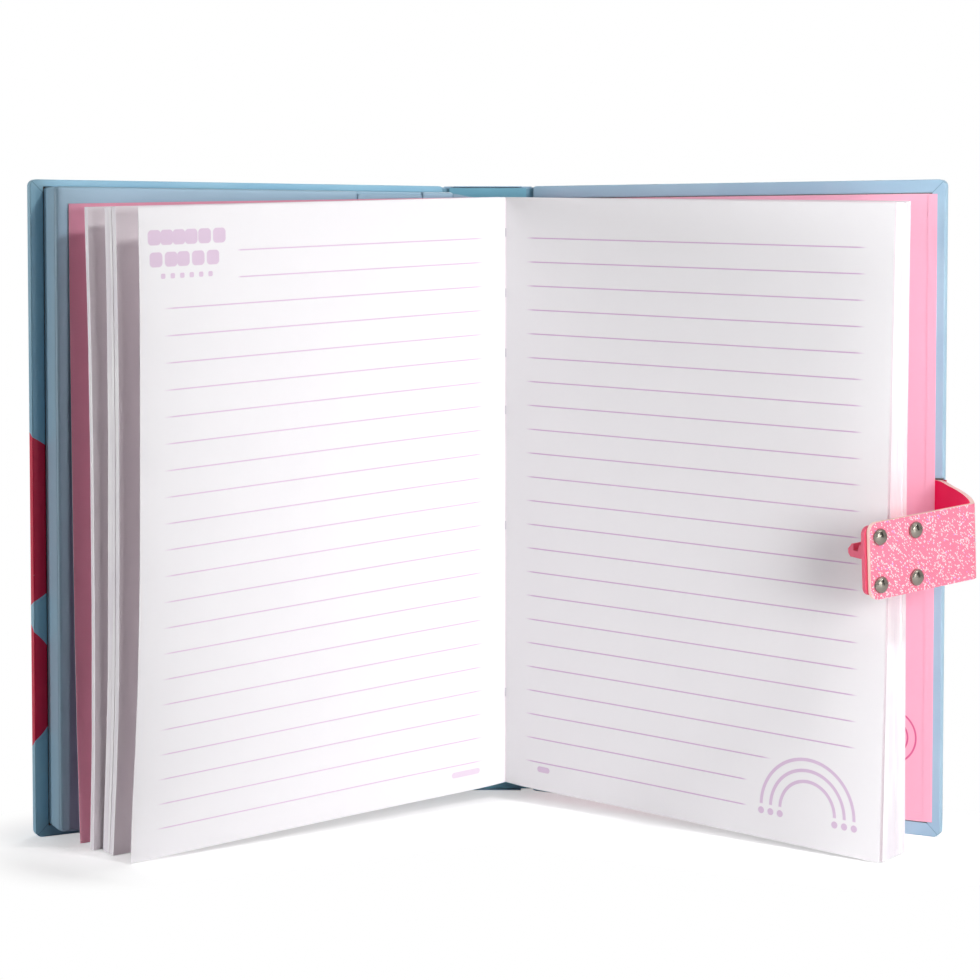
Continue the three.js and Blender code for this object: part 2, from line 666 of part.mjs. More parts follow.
// A bundle of leaves hangs from its root; the fore edge droops a little towards the table.
function buildLeaves(leaf, side) {
  const outline = new THREE.Shape([
    [0, leafLift], [leafLength, leafLift - leafDroop],
    [leafLength, leafLift - leafDroop + leafHeight], [0, leafLift + leafHeight],
  ].map(([x, z]) => new THREE.Vector2(x, z)));
  const body = slab(outline, around(0, leaf.thickness));
  const mesh = addMesh(diary, leaf.name, leaf.paper, meshOf(body));
  mesh.position.set(leaf.root[0], leaf.root[1], 0);
  mesh.rotation.z = side < 0 ? Math.PI + leaf.turn * degree : -leaf.turn * degree;
}

// The paper that ties the block to the case: a strip from a fixed edge to the block's back
function buildHingePaper(name, colour, from, to) {
  const [dx, dy] = [to[0] - from[0], to[1] - from[1]];
  const length = Math.hypot(dx, dy);
  const strip = block([0, length], around(0, hingePaper), [square + 1, caseHeight - square - 1]);
  const mesh = addMesh(diary, name, colour, meshOf(strip));
  mesh.position.set(from[0], from[1], 0);
  mesh.rotation.z = Math.atan2(dy, dx);
}

// A point of a cover, given along it and in from its middle plane, in the diary's own frame
function frontPoint(along, inward) {
  const a = frontOpening * degree;
  return [-hingeHalf - along * Math.cos(a) + inward * Math.sin(a), -along * Math.sin(a) - inward * Math.cos(a)];
}

function backPoint(along, inward) {
  const a = backOpening * degree;
  return [hingeHalf + along * Math.cos(a) - inward * Math.sin(a), -along * Math.sin(a) - inward * Math.cos(a)];
}

// A leaf's root, moved along the leaf and square to it
function rootPoint(leaf, side, along, away) {
  const a = leaf.turn * degree;
  return [
    leaf.root[0] + side * (along * Math.cos(a) + away * Math.sin(a)),
    leaf.root[1] - along * Math.sin(a) + away * Math.cos(a),
  ];
}

diary.add(buildSpine(), buildFrontCover(), buildBackCover());
leavesLeft.forEach((leaf) => buildLeaves(leaf, -1));
leavesRight.forEach((leaf) => buildLeaves(leaf, 1));
const firstLeaf = leavesLeft[0];
const lastLeaf = leavesRight[leavesRight.length - 1];
buildHingePaper(
  'front_hinge_paper', 'hinge',
  frontPoint(boxSpineEdge + 1, boxTop + seat + hingePaper / 2),
  rootPoint(firstLeaf, -1, 1, (firstLeaf.thickness + hingePaper) / 2 + seat),
);
buildHingePaper(
  'back_hinge_paper', 'pinkPaper',
  backPoint(boxSpineEdge + 3, faceLevel + seat + hingePaper / 2),
  rootPoint(lastLeaf, 1, 1, (lastLeaf.thickness + hingePaper) / 2 + seat),
);

export default diary;
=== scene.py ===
# %% [markdown]
# # An electronic diary, stood open on a white table
#
# The diary is a case-bound book whose front cover hides a box of electronics. A riveted strap on
# the back cover carries the tongue of its lock. The solid parts come from a CAD model and stay
# exactly where it puts them. This script gives them their finishes and makes the soft pieces that
# bend: the leaves, the strap, the papers that tie the block to the case and the folds of the
# covering. The CAD model is in metres here, with the foot of the spine at the origin and the
# reader on the -Y side. Lengths below are written in millimetres and turned into metres at the
# last moment, because that is how a bookbinder would say them.

import math
import random

import bpy
import numpy as np
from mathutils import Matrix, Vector


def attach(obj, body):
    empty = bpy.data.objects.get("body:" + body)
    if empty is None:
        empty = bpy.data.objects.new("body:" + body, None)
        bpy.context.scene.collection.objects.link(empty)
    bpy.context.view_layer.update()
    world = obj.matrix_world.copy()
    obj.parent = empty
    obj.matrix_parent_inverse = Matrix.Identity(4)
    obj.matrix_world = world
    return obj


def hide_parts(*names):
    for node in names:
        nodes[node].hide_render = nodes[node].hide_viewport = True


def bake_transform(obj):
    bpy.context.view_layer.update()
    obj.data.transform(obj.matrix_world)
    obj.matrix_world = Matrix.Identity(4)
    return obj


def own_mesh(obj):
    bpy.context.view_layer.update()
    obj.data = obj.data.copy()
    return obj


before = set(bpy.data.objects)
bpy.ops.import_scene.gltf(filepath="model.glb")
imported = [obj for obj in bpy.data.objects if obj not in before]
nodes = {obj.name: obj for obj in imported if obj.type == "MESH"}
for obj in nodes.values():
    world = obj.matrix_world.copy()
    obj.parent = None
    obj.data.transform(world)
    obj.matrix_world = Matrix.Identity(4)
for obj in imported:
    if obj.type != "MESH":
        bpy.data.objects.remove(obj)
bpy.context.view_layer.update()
millimetre = 0.001

# %% [markdown]
# ## Making a mesh piece
#
# Each soft piece is a list of corners and faces worked out in millimetres. A second list gives each
# corner's place on the flat sheet, also in millimetres, so that a print or a weave can be drawn on
# the sheet as if it still lay flat on the bench.

# %% Mesh helper
def make_piece(name, corners, faces, flat, materials, face_material=None, smooth=True):
    mesh = bpy.data.meshes.new(name)
    mesh.from_pydata([[c * millimetre for c in corner] for corner in corners], [], faces)
    sheet = mesh.uv_layers.new(name="sheet")
    for loop in mesh.loops:
        sheet.data[loop.index].uv = flat[loop.vertex_index]
    for material in materials:
        mesh.materials.append(material)
    for n, polygon in enumerate(mesh.polygons):
        polygon.use_smooth = smooth
        if face_material:
            polygon.material_index = face_material[n]
    mesh.update()
    piece = bpy.data.objects.new(name, mesh)
    bpy.context.scene.collection.objects.link(piece)
    return piece


def sheet_faces(corners, flat, first, across, up, outward=True):
    """Faces of a thin sheet whose corners start at first: two grids of (across, up) steps, one for
    each side, and the cut rim. The rim has corners of its own, so that the shading breaks there."""
    faces = []

    def corner(n, i, j):
        return first + (n * (across + 1) + i) * (up + 1) + j

    for i in range(across):
        for j in range(up):
            for n in (0, 1):
                around = [corner(n, i, j), corner(n, i + 1, j),
                          corner(n, i + 1, j + 1), corner(n, i, j + 1)]
                faces.append(around if (n == 0) == outward else around[::-1])
    rim = [(i, 0) for i in range(across)] + [(across, j) for j in range(up)]
    rim += [(i, up) for i in range(across, 0, -1)] + [(0, j) for j in range(up, 0, -1)]
    for (i, j), (k, m) in zip(rim, rim[1:] + rim[:1]):
        own = [corner(0, i, j), corner(1, i, j), corner(1, k, m), corner(0, k, m)]
        around = [len(corners) + n for n in range(4)]
        corners.extend([corners[c] for c in own])
        flat.extend([flat[c] for c in own])
        faces.append(around if outward else around[::-1])
    return faces


# %% [markdown]
# ## Drawing finishes with sums
#
# A finish is a small sum over the surface: where a line is printed, how rough the paper is, how
# high the weave stands. The class below lets such a sum be written as one, and turns it into shader
# nodes. Numbers that stay the same everywhere go straight onto the shader.

# %% Sums that become shader nodes
def linear(colour):
    """A colour written as on the web, in the light-linear values that the shader wants."""
    parts = [int(colour[i:i + 2], 16) / 255 for i in (1, 3, 5)]
    return [p / 12.92 if p <= 0.04045 else ((p + 0.055) / 1.055) ** 2.4 for p in parts] + [1]


def put(tree, value, socket):
    if isinstance(value, Sum):
        tree.links.new(value.socket, socket)
    elif isinstance(value, str):
        socket.default_value = linear(value)
    else:
        socket.default_value = value


class Sum:
    def __init__(self, tree, socket):
        self.tree, self.socket = tree, socket

    def work(self, operation, *others):
        made = self.tree.nodes.new("ShaderNodeMath")
        made.operation = operation
        for slot, value in zip(made.inputs, (self, *others)):
            put(self.tree, value, slot)
        return Sum(self.tree, made.outputs[0])

    def __add__(self, other):
        return self.work("ADD", other)

    def __sub__(self, other):
        return self.work("SUBTRACT", other)

    def __mul__(self, other):
        return self.work("MULTIPLY", other)

    def __truediv__(self, other):
        return self.work("DIVIDE", other)

    def size(self):
        return self.work("ABSOLUTE")

    def low(self, other):
        return self.work("MINIMUM", other)

    def high(self, other):
        return self.work("MAXIMUM", other)

    def rest(self):
        return self.work("FRACT")

    def steps(self):
        return self.work("FLOOR")

    def turned(self):
        """One minus this."""
        return (self * -1) + 1

    def rising(self, a, b):
        """0 below a and 1 above b, smoothly in between. With a above b it falls."""
        made = self.tree.nodes.new("ShaderNodeMapRange")
        made.interpolation_type = "SMOOTHSTEP"
        put(self.tree, self, made.inputs["Value"])
        for name, value in {"From Min": a, "From Max": b, "To Min": 0.0, "To Max": 1.0}.items():
            made.inputs[name].default_value = value
        return Sum(self.tree, made.outputs["Result"])

    def between(self, a, b, soft):
        return self.rising(a - soft, a + soft) * self.rising(b + soft, b - soft)


def far(x, y):
    """How far (x, y) is from zero."""
    return ((x * x) + (y * y)).work("SQRT")


def node(tree, kind, inputs=None, **settings):
    made = tree.nodes.new(kind)
    for key, value in settings.items():
        setattr(made, key, value)
    for key, value in (inputs or {}).items():
        put(tree, value, made.inputs[key])
    return made


def vector(tree, x, y, z=0.0):
    return Sum(tree, node(tree, "ShaderNodeCombineXYZ", {"X": x, "Y": y, "Z": z}).outputs[0])


def noise(tree, place, scale, detail=2.0):
    made = node(tree, "ShaderNodeTexNoise", {"Vector": place, "Scale": scale, "Detail": detail})
    return Sum(tree, made.outputs["Fac"])


def speck(tree, place):
    """A chance number from 0 to 1, another one for each whole-number place."""
    made = node(tree, "ShaderNodeTexWhiteNoise", {"Vector": place}, noise_dimensions="3D")
    return Sum(tree, made.outputs["Value"])


def mixed(tree, share, first, second):
    made = node(tree, "ShaderNodeMix", data_type="RGBA")
    put(tree, share, made.inputs[0])
    put(tree, first, made.inputs[6])
    put(tree, second, made.inputs[7])
    return Sum(tree, made.outputs[2])


def object_place(tree):
    """Where a point is in the resting diary, in millimetres: x, y, z and all three together."""
    coordinates = node(tree, "ShaderNodeTexCoord").outputs["Object"]
    scaled = node(tree, "ShaderNodeVectorMath", operation="SCALE")
    tree.links.new(coordinates, scaled.inputs[0])
    scaled.inputs["Scale"].default_value = 1 / millimetre
    split = node(tree, "ShaderNodeSeparateXYZ")
    tree.links.new(scaled.outputs[0], split.inputs[0])
    return [Sum(tree, socket) for socket in split.outputs] + [Sum(tree, scaled.outputs[0])]


def sheet_place(tree):
    """Where a point is on the flat sheet, in millimetres: across, up and both together."""
    made = node(tree, "ShaderNodeUVMap", uv_map="sheet")
    split = node(tree, "ShaderNodeSeparateXYZ")
    tree.links.new(made.outputs[0], split.inputs[0])
    return Sum(tree, split.outputs[0]), Sum(tree, split.outputs[1]), Sum(tree, made.outputs[0])


def new_finish(name):
    material = bpy.data.materials.new(name)
    material.use_nodes = True
    return material, material.node_tree, material.node_tree.nodes["Principled BSDF"]


def give_bump(tree, shader, height, depth, edge=0.0):
    """Raises the surface by height times depth (mm). edge rounds sharp corners to that radius."""
    reach = depth * millimetre
    bump = node(tree, "ShaderNodeBump", {"Height": height, "Strength": 1.0, "Distance": reach})
    if edge:
        round_off = node(tree, "ShaderNodeBevel", {"Radius": edge * millimetre}, samples=6)
        tree.links.new(round_off.outputs[0], bump.inputs["Normal"])
    tree.links.new(bump.outputs[0], shader.inputs["Normal"])


def dress(tree, shader, colour, rough, height, depth, edge=0.0):
    """Colour, roughness and bump, which every finish has."""
    put(tree, colour, shader.inputs["Base Color"])
    put(tree, rough, shader.inputs["Roughness"])
    give_bump(tree, shader, height, depth, edge)


# %% [markdown]
# ## Plain solid finishes
#
# Moulded plastic, metal and rubber differ in few things: colour, shine, how fine the grain is and
# how deep. One maker serves them all. The grain is a fine noise that also changes the shine a
# little, as handling does, and every edge is rounded by a hair so that it catches the light.

# %% Solid finishes
def solid_finish(name, colour, shine, grain=6.0, depth=0.02, metal=0.0, edge=0.2, mottle=0.05):
    material, tree, shader = new_finish(name)
    place = object_place(tree)[3]
    fine = noise(tree, place, grain)
    broad = noise(tree, place, 0.12, 3.0)
    shade = broad * (2 * mottle) + (1 - mottle)
    made = node(tree, "ShaderNodeMix", data_type="RGBA", blend_type="MULTIPLY")
    made.inputs[0].default_value = 1.0
    put(tree, colour, made.inputs[6])
    tree.links.new(vector(tree, shade, shade, shade).socket, made.inputs[7])
    shader.inputs["Metallic"].default_value = metal
    rough = broad * 0.12 + (fine * 0.1 + (shine - 0.11))
    dress(tree, shader, Sum(tree, made.outputs[2]), rough, fine, depth, edge)
    return material


housing_plastic = solid_finish("housing plastic", "#f3a3bb", 0.42, grain=9, depth=0.012)
key_plastic = solid_finish("key plastic", "#fbf3f7", 0.4, grain=9, depth=0.008)
latch_plastic = solid_finish("latch plastic", "#dd5270", 0.36, grain=7, depth=0.012, edge=0.3)
rivet_metal = solid_finish("nickel rivet", "#a29b91", 0.19, grain=3, depth=0.004, metal=1.0, edge=0.15)
spring_steel = solid_finish("spring steel", "#a9acb0", 0.36, grain=5, depth=0.01, metal=1.0)
soft_rubber = solid_finish("key mat rubber", "#d5d5da", 0.75, grain=10, depth=0.02)
led_lens = solid_finish("light lens", "#eef4fb", 0.2, grain=4, depth=0.004)
speaker_body = solid_finish("speaker basket", "#2b2b2f", 0.55, grain=8, depth=0.02)
print("solid finishes made")

# %% [markdown]
# Three inner pieces carry a pattern that tells what they are: copper wire lies in turns round the
# solenoid, the circuit board has tracks and soldered spots, and a battery can is wrapped in a
# sleeve with a band at one end.

# %% Wound coil, circuit board, battery sleeve
def coil_finish():
    material, tree, shader = new_finish("wound copper")
    z = object_place(tree)[2]
    turn = (z * 2.2).rest()
    ridge = (turn - 0.5).size().rising(0.5, 0.1)
    shader.inputs["Metallic"].default_value = 0.6
    dress(tree, shader, mixed(tree, ridge, "#4b2a17", "#b0683a"), ridge * -0.25 + 0.6, ridge, 0.15)
    return material


def circuit_finish():
    material, tree, shader = new_finish("circuit board")
    x, _, z, _ = object_place(tree)
    lane = ((x * 0.5).rest() - 0.5).size().rising(0.12, 0.08)
    row = ((z * 0.25).rest() - 0.5).size().rising(0.1, 0.06)
    chosen = speck(tree, vector(tree, (x * 0.5).steps(), (z * 0.25).steps())).rising(0.45, 0.5)
    track = (lane * chosen).high(row * (chosen.turned()))
    spot = far((x * 0.4).rest() - 0.5, (z * 0.4).rest() - 0.5).rising(0.22, 0.18)
    green = mixed(tree, track, "#1f6a3d", "#2f8a52")
    colour = mixed(tree, spot, green, "#c9c2a2")
    dress(tree, shader, colour, spot * -0.2 + 0.5, track + spot, 0.05)
    return material


def battery_finish():
    material, tree, shader = new_finish("battery sleeve")
    _, _, z, place = object_place(tree)
    band = z.between(196.0, 203.0, 0.2)
    scuff = noise(tree, place, 0.8, 4.0)
    blue = mixed(tree, band, "#5b7fa6", "#d8b26a")
    colour = mixed(tree, scuff.rising(0.62, 0.72), blue, "#8fa6bd")
    dress(tree, shader, colour, scuff * 0.2 + 0.25, scuff, 0.02)
    return material


coil_copper, circuit, battery_can = coil_finish(), circuit_finish(), battery_finish()

# %% [markdown]
# ## The covers' printed paper
#
# The case is covered in a pale blue paper with a thin gloss film. It is folded over the boards'
# edges, and its folds meet in a mitre at each corner. On the front cover the outside print, crimson
# spots, runs round the fore edge and shows on the margin inside. To draw that, a point of the cover
# is told by how far along the cover it is, how far in from the board's middle and how high up. A
# fourth number unrolls the paper round the fore edge, so that a spot carries on over the fold as it
# does on paper that was printed flat.

# %% Covering paper
hinge_half = 15.875
cover_reach, cover_height, cover_face = 150.3, 216.0, 1.65
opening = {"front": math.radians(27.4), "back": math.radians(27.3)}
# The front cover's paper is the back's blue painted deeper and more saturated, as painted shade for the
# inside of the front cover, which stands in shade.
cover_blues_front_shaded = {"front": ("#9acde7", "#a6d6ec"), "back": ("#abcfe6", "#b8daed")}
# crimson spots on the unrolled front paper: across, height, radius
cover_spots = [(-12.85, 50, 23.1), (-12.3, 105, 30.4), (-62, 82, 21), (-60, 150, 26), (-104, 40, 24),
               (-108, 128, 27), (-66, 196, 17), (-112, 190, 20), (-58, 24, 14)]


def cover_place(tree, side):
    x, y, z, place = object_place(tree)
    turn = opening[side]
    out = (x + hinge_half) * -1 if side == "front" else x - hinge_half
    along = out * math.cos(turn) - y * math.sin(turn)
    inward = (out * math.sin(turn)) * -1 - y * math.cos(turn)
    return along, inward, z, place


def covering_finish(name, side, printed):
    material, tree, shader = new_finish(name)
    along, inward, up, place = cover_place(tree, side)
    margin = (along * -1) + cover_reach
    unrolled = inward * (margin / cover_face + 1)
    fibre = noise(tree, place, 1.6, 4.0)
    broad = noise(tree, place, 0.03, 2.0)
    colour = mixed(tree, broad.rising(0.3, 0.7), *cover_blues_front_shaded[side])
    if printed:
        spots = None
        for across, height, radius in cover_spots:
            spot = far(unrolled - across, up - height).rising(radius + 0.12, radius - 0.12)
            spots = spot if spots is None else spots.high(spot)
        colour = mixed(tree, spots, colour, "#f00048")
    top = ((up * -1) + cover_height - margin).size()
    foot = (up - margin).size()
    # The mitre is a groove in the bump and a darker blue line, which is painted shade of the fold's
    # edge.
    mitre_groove_and_shade = top.low(foot).rising(0.28, 0.06) * inward.rising(1.2, 1.4) * margin.rising(5.2, 4.8)
    colour = mixed(tree, mitre_groove_and_shade * 0.5, colour, "#5f8aa6")
    # Paler patches along the fore edge, within 1.2 mm of it.
    pale_fore_edge = noise(tree, place, 0.5, 5.0).rising(0.66, 0.78) * margin.rising(1.2, 0.2)
    colour = mixed(tree, pale_fore_edge * 0.3, colour, "#eef6fa")
    shader.inputs["Specular IOR Level"].default_value = 0.3
    shader.inputs["Coat Weight"].default_value = 0.05
    shader.inputs["Coat Roughness"].default_value = 0.25
    rough = broad * 0.1 + (fibre * 0.1 + 0.27)
    dress(tree, shader, colour, rough, fibre * 0.25 - mitre_groove_and_shade, 0.05, edge=0.7)
    return material


front_paper = covering_finish("front covering paper", "front", True)
back_paper = covering_finish("back covering paper", "back", False)
spine_paper = solid_finish("spine covering paper", "#a9cde6", 0.38, grain=1.6, depth=0.02, edge=0.3)

# %% [markdown]
# ## Other papers and boards
#
# Uncoated paper is matt and shows its fibres: short streaks, a little cloudiness against the light,
# no gloss. The same recipe in other colours makes the box paper, the spine lining, the hinge
# papers, the flyleaf and the grey board, which is coarser and flecked.

# %% Matt papers
def matt_paper(name, colour, shadow, rough=0.7, fleck=0.0, depth=0.03, edge=0.0, flat=False):
    material, tree, shader = new_finish(name)
    place = sheet_place(tree)[2] if flat else object_place(tree)[3]
    cloud = noise(tree, place, 0.09, 4.0)
    fibre = noise(tree, place, 2.2, 5.0)
    made = mixed(tree, cloud * 0.35 + fibre * 0.2, colour, shadow)
    if fleck:
        spots = noise(tree, place, 1.1, 2.0).rising(0.62, 0.7)
        made = mixed(tree, spots * fleck, made, "#5b564d")
    dress(tree, shader, made, fibre * 0.12 + (rough - 0.06), fibre, depth, edge)
    return material


grey_board = matt_paper("grey board", "#a29d94", "#8b867d", 0.9, fleck=0.5, depth=0.08)
box_paper = matt_paper("box paper", "#a9cbe0", "#9cc0d8", 0.42, depth=0.015, edge=1.2)
lining_paper = matt_paper("spine lining paper", "#7fc0d8", "#72b0c8", 0.6)
hinge_paper = matt_paper("hinge paper", "#a3c2d6", "#93b4ca", 0.7, flat=True)
pink_hinge = matt_paper("pink hinge paper", "#ffb4cc", "#f6a5c0", 0.7, flat=True)


# %% [markdown]
# The endpaper pasted on the back board is pink, with plain thin rings near its foot in a deeper
# pink. The paper is also given a faint glow of its own: painted light that makes it brighter than
# the lamps alone would.

# %% Pink papers
def endpaper_finish():
    material, tree, shader = new_finish("pink endpaper")
    along, _, up, place = cover_place(tree, "back")
    cloud, fibre = noise(tree, place, 0.09, 4.0), noise(tree, place, 2.2, 5.0)
    colour = mixed(tree, cloud * 0.4 + fibre * 0.2, "#ffc0d6", "#fdb6cf")
    rings = None
    for across, height, radius in [(133, 32, 9.0), (133, 32, 6.2), (98, 62, 14.0), (60, 30, 11.0)]:
        ring = (far(along - across, up - height) - radius).size().rising(0.42, 0.22)
        rings = ring if rings is None else rings.high(ring)
    printed = mixed(tree, rings * 0.8, colour, "#d8478a")
    # Painted light: the paper's colour also glows faintly.
    put(tree, printed, shader.inputs["Emission Color"])
    shader.inputs["Emission Strength"].default_value = 0.09
    dress(tree, shader, printed, fibre * 0.12 + 0.6, fibre, 0.03)
    return material


endpaper = endpaper_finish()
flyleaf_paper = matt_paper("pink flyleaf", "#ffb1ca", "#f7a3bf", 0.75, flat=True)

# %% [markdown]
# ## Finishes onto the CAD pieces
#
# Every CAD piece that stays gets one of these finishes by name. Only the strap's root has to wait
# for its lining, which is made with the strap.

# %% Assign finishes
finish_of = {
    "front_covering": front_paper, "back_covering": back_paper, "spine_covering": spine_paper,
    "spine_lining": lining_paper, "spine_board": grey_board, "front_board": grey_board,
    "back_board": grey_board, "box_tray": box_paper, "box_lid": box_paper, "battery_door": box_paper,
    "back_endpaper": endpaper, "lock_housing": housing_plastic, "key_1": key_plastic,
    "key_2": key_plastic, "key_3": key_plastic, "key_4": key_plastic, "circuit_board": circuit,
    "key_mat": soft_rubber, "status_led": led_lens, "speaker": speaker_body,
    "release_solenoid": coil_copper, "catch": spring_steel, "catch_spring": spring_steel,
    "battery_1": battery_can, "battery_2": battery_can, "battery_bridge": spring_steel,
    "battery_contact_plus": spring_steel, "battery_contact_minus": spring_steel,
    "latch_plate": latch_plastic, "rivet_1": rivet_metal, "rivet_2": rivet_metal,
    "rivet_3": rivet_metal, "rivet_4": rivet_metal,
}
for name, material in finish_of.items():
    nodes[name].data.materials.clear()
    nodes[name].data.materials.append(material)
print(len(finish_of), "CAD pieces have their finish")

# %% [markdown]
# ## What is printed on the leaves
#
# Each page is ruled with 23 fine lilac lines about 8.3 mm apart that stop short of the margins. The
# left page has a small heading at its outer top corner, so its first two lines start later. The
# right page has an ornament at its outer foot, so its last three lines stop early. The heading is
# made of rounded bars and dots, and the ornament of nested arcs. Across means away from the gutter,
# up means from the leaf's foot.

# %% Page paper and its print
line_pitch, first_line, line_count = 8.28, 191.8, 23
# the heading's bars: height of the row, size, middles of its bars
heading_rows = [(196.6, 2.35, [143, 138.5, 134, 129.5, 124.5, 119]),
                (190.0, 2.3, [142.5, 137, 132.5, 127, 121.5]),
                (185.0, 0.8, [140, 136.5, 133, 129.5, 126, 122.5])]
ink_of = {"left": "#e4cbe2", "right": "#d8b5d8"}


def page_finish(name, side):
    material, tree, shader = new_finish(name)
    across, up, place = sheet_place(tree)
    cloud, fibre = noise(tree, place, 0.06, 4.0), noise(tree, place, 2.4, 5.0)
    # The plain leaves are the printed pages' paper tinted pinker, as painted warm shade, since they are
    # mostly seen in shade between the bundles.
    shades = ("#fbf9fb", "#f4f2f5") if side else ("#fff6fa", "#f7eef4")
    paper = mixed(tree, cloud * 0.5 + fibre * 0.2, *shades)
    if side:
        number = (up * -1 + first_line) / line_pitch
        ruled = ((number + 0.5).rest() - 0.5).size().rising(0.034, 0.014)
        ruled = ruled * number.between(-0.4, line_count - 0.6, 0.01)
        if side == "left":
            span = across.between(12.3, 138.0, 2.6)
            span = span * (number.rising(1.4, 1.6).high(across.rising(112.5, 110.5)))
        else:
            span = across.between(10.8, 136.5, 2.2)
            span = span * (number.rising(19.6, 19.4).high(across.rising(108.0, 103.0)))
            span = span * (number.rising(20.6, 20.4).high(across.rising(99.0, 96.0)))
        ink = ruled * span
        if side == "left":
            for row, size, bars in heading_rows:
                for middle in bars:
                    dash = far((across - middle).size().high(size * 0.45) - size * 0.45,
                               (up - row).size().high(size * 0.4) - size * 0.4)
                    ink = ink.high(dash.rising(size * 0.62, size * 0.5) * 0.9)
            footer = far((across - 18.0).size().high(5.0) - 5.0, up - 6.4)
        else:
            for radius in (10.0, 13.5, 17.0):
                arc = (far(across - 121.0, up - 11.0) - radius).size().rising(0.62, 0.45)
                ink = ink.high(arc * up.rising(11.0, 11.4) * 0.75)
                for middle in (121.0 - radius, 121.0 + radius):
                    ink = ink.high(far(across - middle, up - 9.0).rising(1.2, 1.0) * 0.75)
            footer = far((across - 17.0).size().high(1.6) - 1.6, up - 7.3)
        ink = ink.high(footer.rising(1.1, 0.9) * 0.7)
        paper = mixed(tree, ink, paper, ink_of[side])
    shader.inputs["Specular IOR Level"].default_value = 0.25
    dress(tree, shader, paper, fibre * 0.1 + 0.72, fibre, 0.02)
    return material


plain_page = page_finish("plain page", None)
left_print = page_finish("left page print", "left")
right_print = page_finish("right page print", "right")

# %% [markdown]
# The cut edge of a bundle shows every single leaf as a hair line. The layers of a bundle are
# modelled about 0.35 mm thick, and finer lines inside each of them come from the finish.

# %% Cut edges of the block
def cut_edge_finish():
    material, tree, shader = new_finish("cut edge of the leaves")
    across, up, _ = sheet_place(tree)
    grain = noise(tree, vector(tree, across * 9.0, up * 0.03), 1.0, 3.0)
    colour = mixed(tree, grain.rising(0.35, 0.65), "#fdfbfd", "#f1ecf2")
    dress(tree, shader, colour, grain * 0.1 + 0.75, grain, 0.05)
    return material


cut_edge = cut_edge_finish()

# %% [markdown]
# ## The leaves
#
# The block stands open, so its leaves fan out from the sewn gutter. Each bundle is a stack of
# layers. A layer leaves the root with a slight bulge, runs nearly straight and is turned a little
# differently at its foot than at its head, because paper that stands on its edge sags and curls.
# The turns below were read off the photograph at several heights. The fore edge hangs lower than
# the root. All the layers of a bundle are one mesh: the front, the back and the cut rim of each.

# %% Leaf bundles
foot_at_root, head_at_root, leaf_height = 6.0, 211.8, 205.8
bulge, bulge_at = 1.1, 13.0
page_warp = 2.4  # how far the left page's print climbs at its middle, where the leaf curls most
ragged = 0.0006  # how far a layer may be longer or taller than the next, as a share

# name: side, root, turn, thickness, layers, length, foot and head at the fore edge,
# heights with the turn of the back layer and of the front layer there
leaves = {
    "front_flyleaf": (
        -1, (-2.4, -11.5), 27.4, 0.2, 1, 148.2, (1.4, 207.9),
        [(0, 29.3, 29.3), (0.2, 28.3, 28.3), (0.35, 27.8, 27.8), (0.55, 27.4, 27.4),
         (0.75, 27.0, 27.0), (1, 26.75, 26.75)]),
    "left_leaves_outer": (
        -1, (-0.8, -12.2), 30, 1.4, 4, 147.3, (0.4, 206.6),
        [(0, 30.6, 31.2), (0.15, 31.4, 31.9), (0.35, 31.75, 32.2), (0.6, 31.7, 32.15),
         (0.8, 31.3, 31.7), (1, 30.4, 30.8)]),
    "left_leaves_inner": (
        -1, (3.2, -13.5), 34, 3.8, 11, 147.3, (0.4, 206.4),
        [(0, 31.4, 33.2), (0.12, 32.4, 34.3), (0.25, 33.3, 35.2), (0.45, 33.7, 35.6),
         (0.65, 34.0, 35.8), (0.85, 33.9, 35.6), (1, 33.5, 35.2)]),
    "left_page": (
        -1, (6.05, -14.6), 38, 0.15, 1, 148.6, (0.25, 206.0),
        [(0, 37.3, 37.3), (0.08, 37.7, 37.7), (0.16, 38.5, 38.5), (0.28, 39.35, 39.35),
         (0.45, 40.0, 40.0), (0.65, 40.25, 40.25), (0.85, 40.4, 40.4), (1, 40.15, 40.15)]),
    "right_page": (
        1, (6.55, -14.6), 35.5, 0.15, 1, 147.3, (0.3, 207.5),
        [(0, 37.6, 37.6), (0.15, 37.2, 37.2), (0.35, 36.5, 36.5), (0.6, 36.1, 36.1),
         (0.8, 35.5, 35.5), (1, 34.8, 34.8)]),
    "right_leaves_inner": (
        1, (8.3, -12.7), 35.2, 2.8, 8, 147.3, (0.4, 207.8),
        [(0, 33.4, 37.6), (0.2, 33.9, 37.1), (0.35, 34.1, 36.7), (0.55, 34.15, 36.25),
         (0.8, 33.8, 35.8), (1, 33.8, 35.2)]),
    "right_leaves_middle": (
        1, (10.4, -10.6), 34.6, 1.7, 5, 147.3, (0.5, 208.0),
        [(0, 33.7, 34.1), (0.35, 34.0, 34.5), (0.6, 34.0, 34.5), (1, 33.6, 34.1)]),
    "right_leaves_outer": (
        1, (12, -9.1), 34, 1.1, 3, 146.3, (0.5, 208.4),
        [(0, 34.0, 34.3), (0.2, 34.3, 34.6), (0.4, 34.7, 34.9), (0.6, 34.6, 34.8),
         (0.8, 34.1, 34.3), (1, 33.7, 33.9)]),
}
prints = {"front_flyleaf": flyleaf_paper, "left_page": left_print, "right_page": right_print}


def leaf_point(leaf, along, height, depth):
    """A point of a leaf: share of its length, share of its height, share from back to front."""
    side, root, turn, thickness, _, length, (foot, head), turns = leaf
    heights, back, front = zip(*turns)
    angle = math.radians(np.interp(height, heights, back) * (1 - depth)
                         + np.interp(height, heights, front) * depth)
    lay = math.radians(turn)
    forward = (depth - 0.5) * thickness
    start = [root[0] - side * math.sin(lay) * forward, root[1] - math.cos(lay) * forward]
    far_along = along * length
    out = bulge * (far_along / bulge_at) * math.exp(1 - far_along / bulge_at)
    x = start[0] + side * math.cos(angle) * far_along - side * math.sin(angle) * out
    y = start[1] - math.sin(angle) * far_along - math.cos(angle) * out
    low = foot_at_root + (foot - foot_at_root) * along
    high = head_at_root + (head - head_at_root) * along
    return [x, y, low + (high - low) * height]


